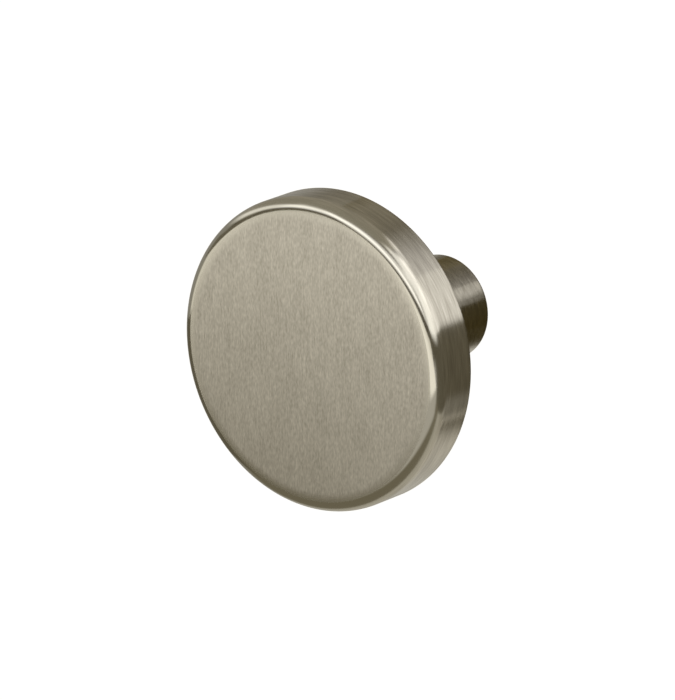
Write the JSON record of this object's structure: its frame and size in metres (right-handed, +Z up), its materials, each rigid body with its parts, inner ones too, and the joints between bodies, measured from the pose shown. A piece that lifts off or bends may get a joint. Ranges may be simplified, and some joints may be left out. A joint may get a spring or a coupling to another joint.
{
  "type": "cabinet knob",
  "caption": "Round flat-faced cabinet knob in brushed nickel: a thin disc head with a rounded shoulder on a plain round stem, with a tapped hole for its screw.",
  "frame": {"origin": "centre of the mounting face, the flat ring at the end of the stem, on the knob's axis", "axes": "+Y points out of the mounting face into the door, along the axis; the face of the head looks to -Y; +Z is up as mounted"},
  "size_m": [0.032, 0.023, 0.032],
  "materials": {
    "brushed_nickel": "nickel plated and brushed: straight vertical grain on the face, turned grain round the rim and the stem"
  },
  "bodies": {
    "root": {"knob": "brushed_nickel"}
  },
  "joints": []
}
